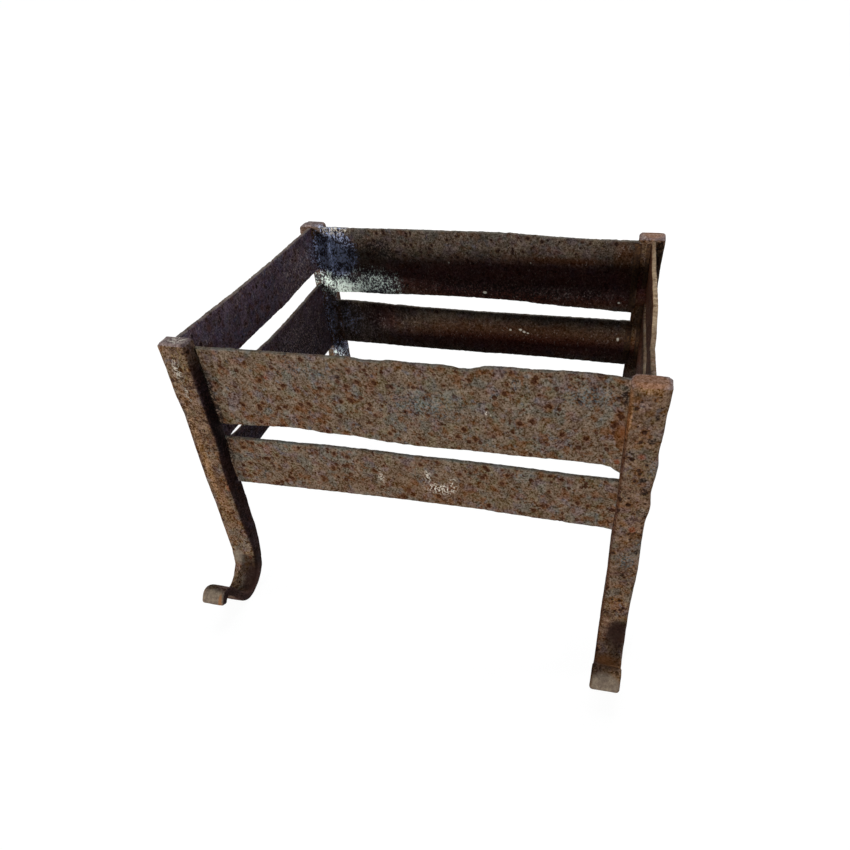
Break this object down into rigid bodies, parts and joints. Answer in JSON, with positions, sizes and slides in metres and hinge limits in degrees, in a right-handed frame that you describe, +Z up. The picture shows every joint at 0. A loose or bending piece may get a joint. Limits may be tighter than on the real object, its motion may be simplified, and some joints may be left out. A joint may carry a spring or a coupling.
{
  "type": "log holder",
  "caption": "Rusty wrought-iron log holder: an open basket of flat rails welded between forged legs with curled feet.",
  "frame": {"origin": "middle of the bounding box, on the floor that the heels of the feet stand on", "axes": "+X to the right as seen from the front, front toward -Y, +Z up"},
  "size_m": [0.413, 0.4619, 0.284],
  "materials": {
    "legs": "rusted forged iron, ochre-brown, finely pitted",
    "front_rails": "rusted flat bar, brown-grey with orange and red-brown freckles and pits",
    "back_rails": "rusted flat bar, dark brown with pale flecks along the top edge",
    "side_rails": "rusted flat bar, dark purple-brown, paler on the worn top edges",
    "welds": "lumpy weld metal, dark brown rust"
  },
  "bodies": {
    "root": {"leg_front_left": "legs", "leg_front_right": "legs", "leg_back_left": "legs", "leg_back_right": "legs", "rail_front_upper": "front_rails", "rail_front_lower": "front_rails", "rail_back_upper": "back_rails", "rail_back_lower": "back_rails", "rail_left_upper": "side_rails", "rail_left_lower": "side_rails", "rail_right_upper": "side_rails", "rail_right_lower": "side_rails", "weld_front_upper_left": "welds", "weld_front_upper_right": "welds", "weld_front_lower_left": "welds", "weld_front_lower_right": "welds", "weld_back_upper_left": "welds", "weld_back_upper_right": "welds", "weld_back_lower_left": "welds", "weld_back_lower_right": "welds", "weld_left_upper_front": "welds", "weld_left_upper_back": "welds", "weld_left_lower_front": "welds", "weld_left_lower_back": "welds", "weld_right_upper_front": "welds", "weld_right_upper_back": "welds", "weld_right_lower_front": "welds", "weld_right_lower_back": "welds"}
  },
  "joints": []
}
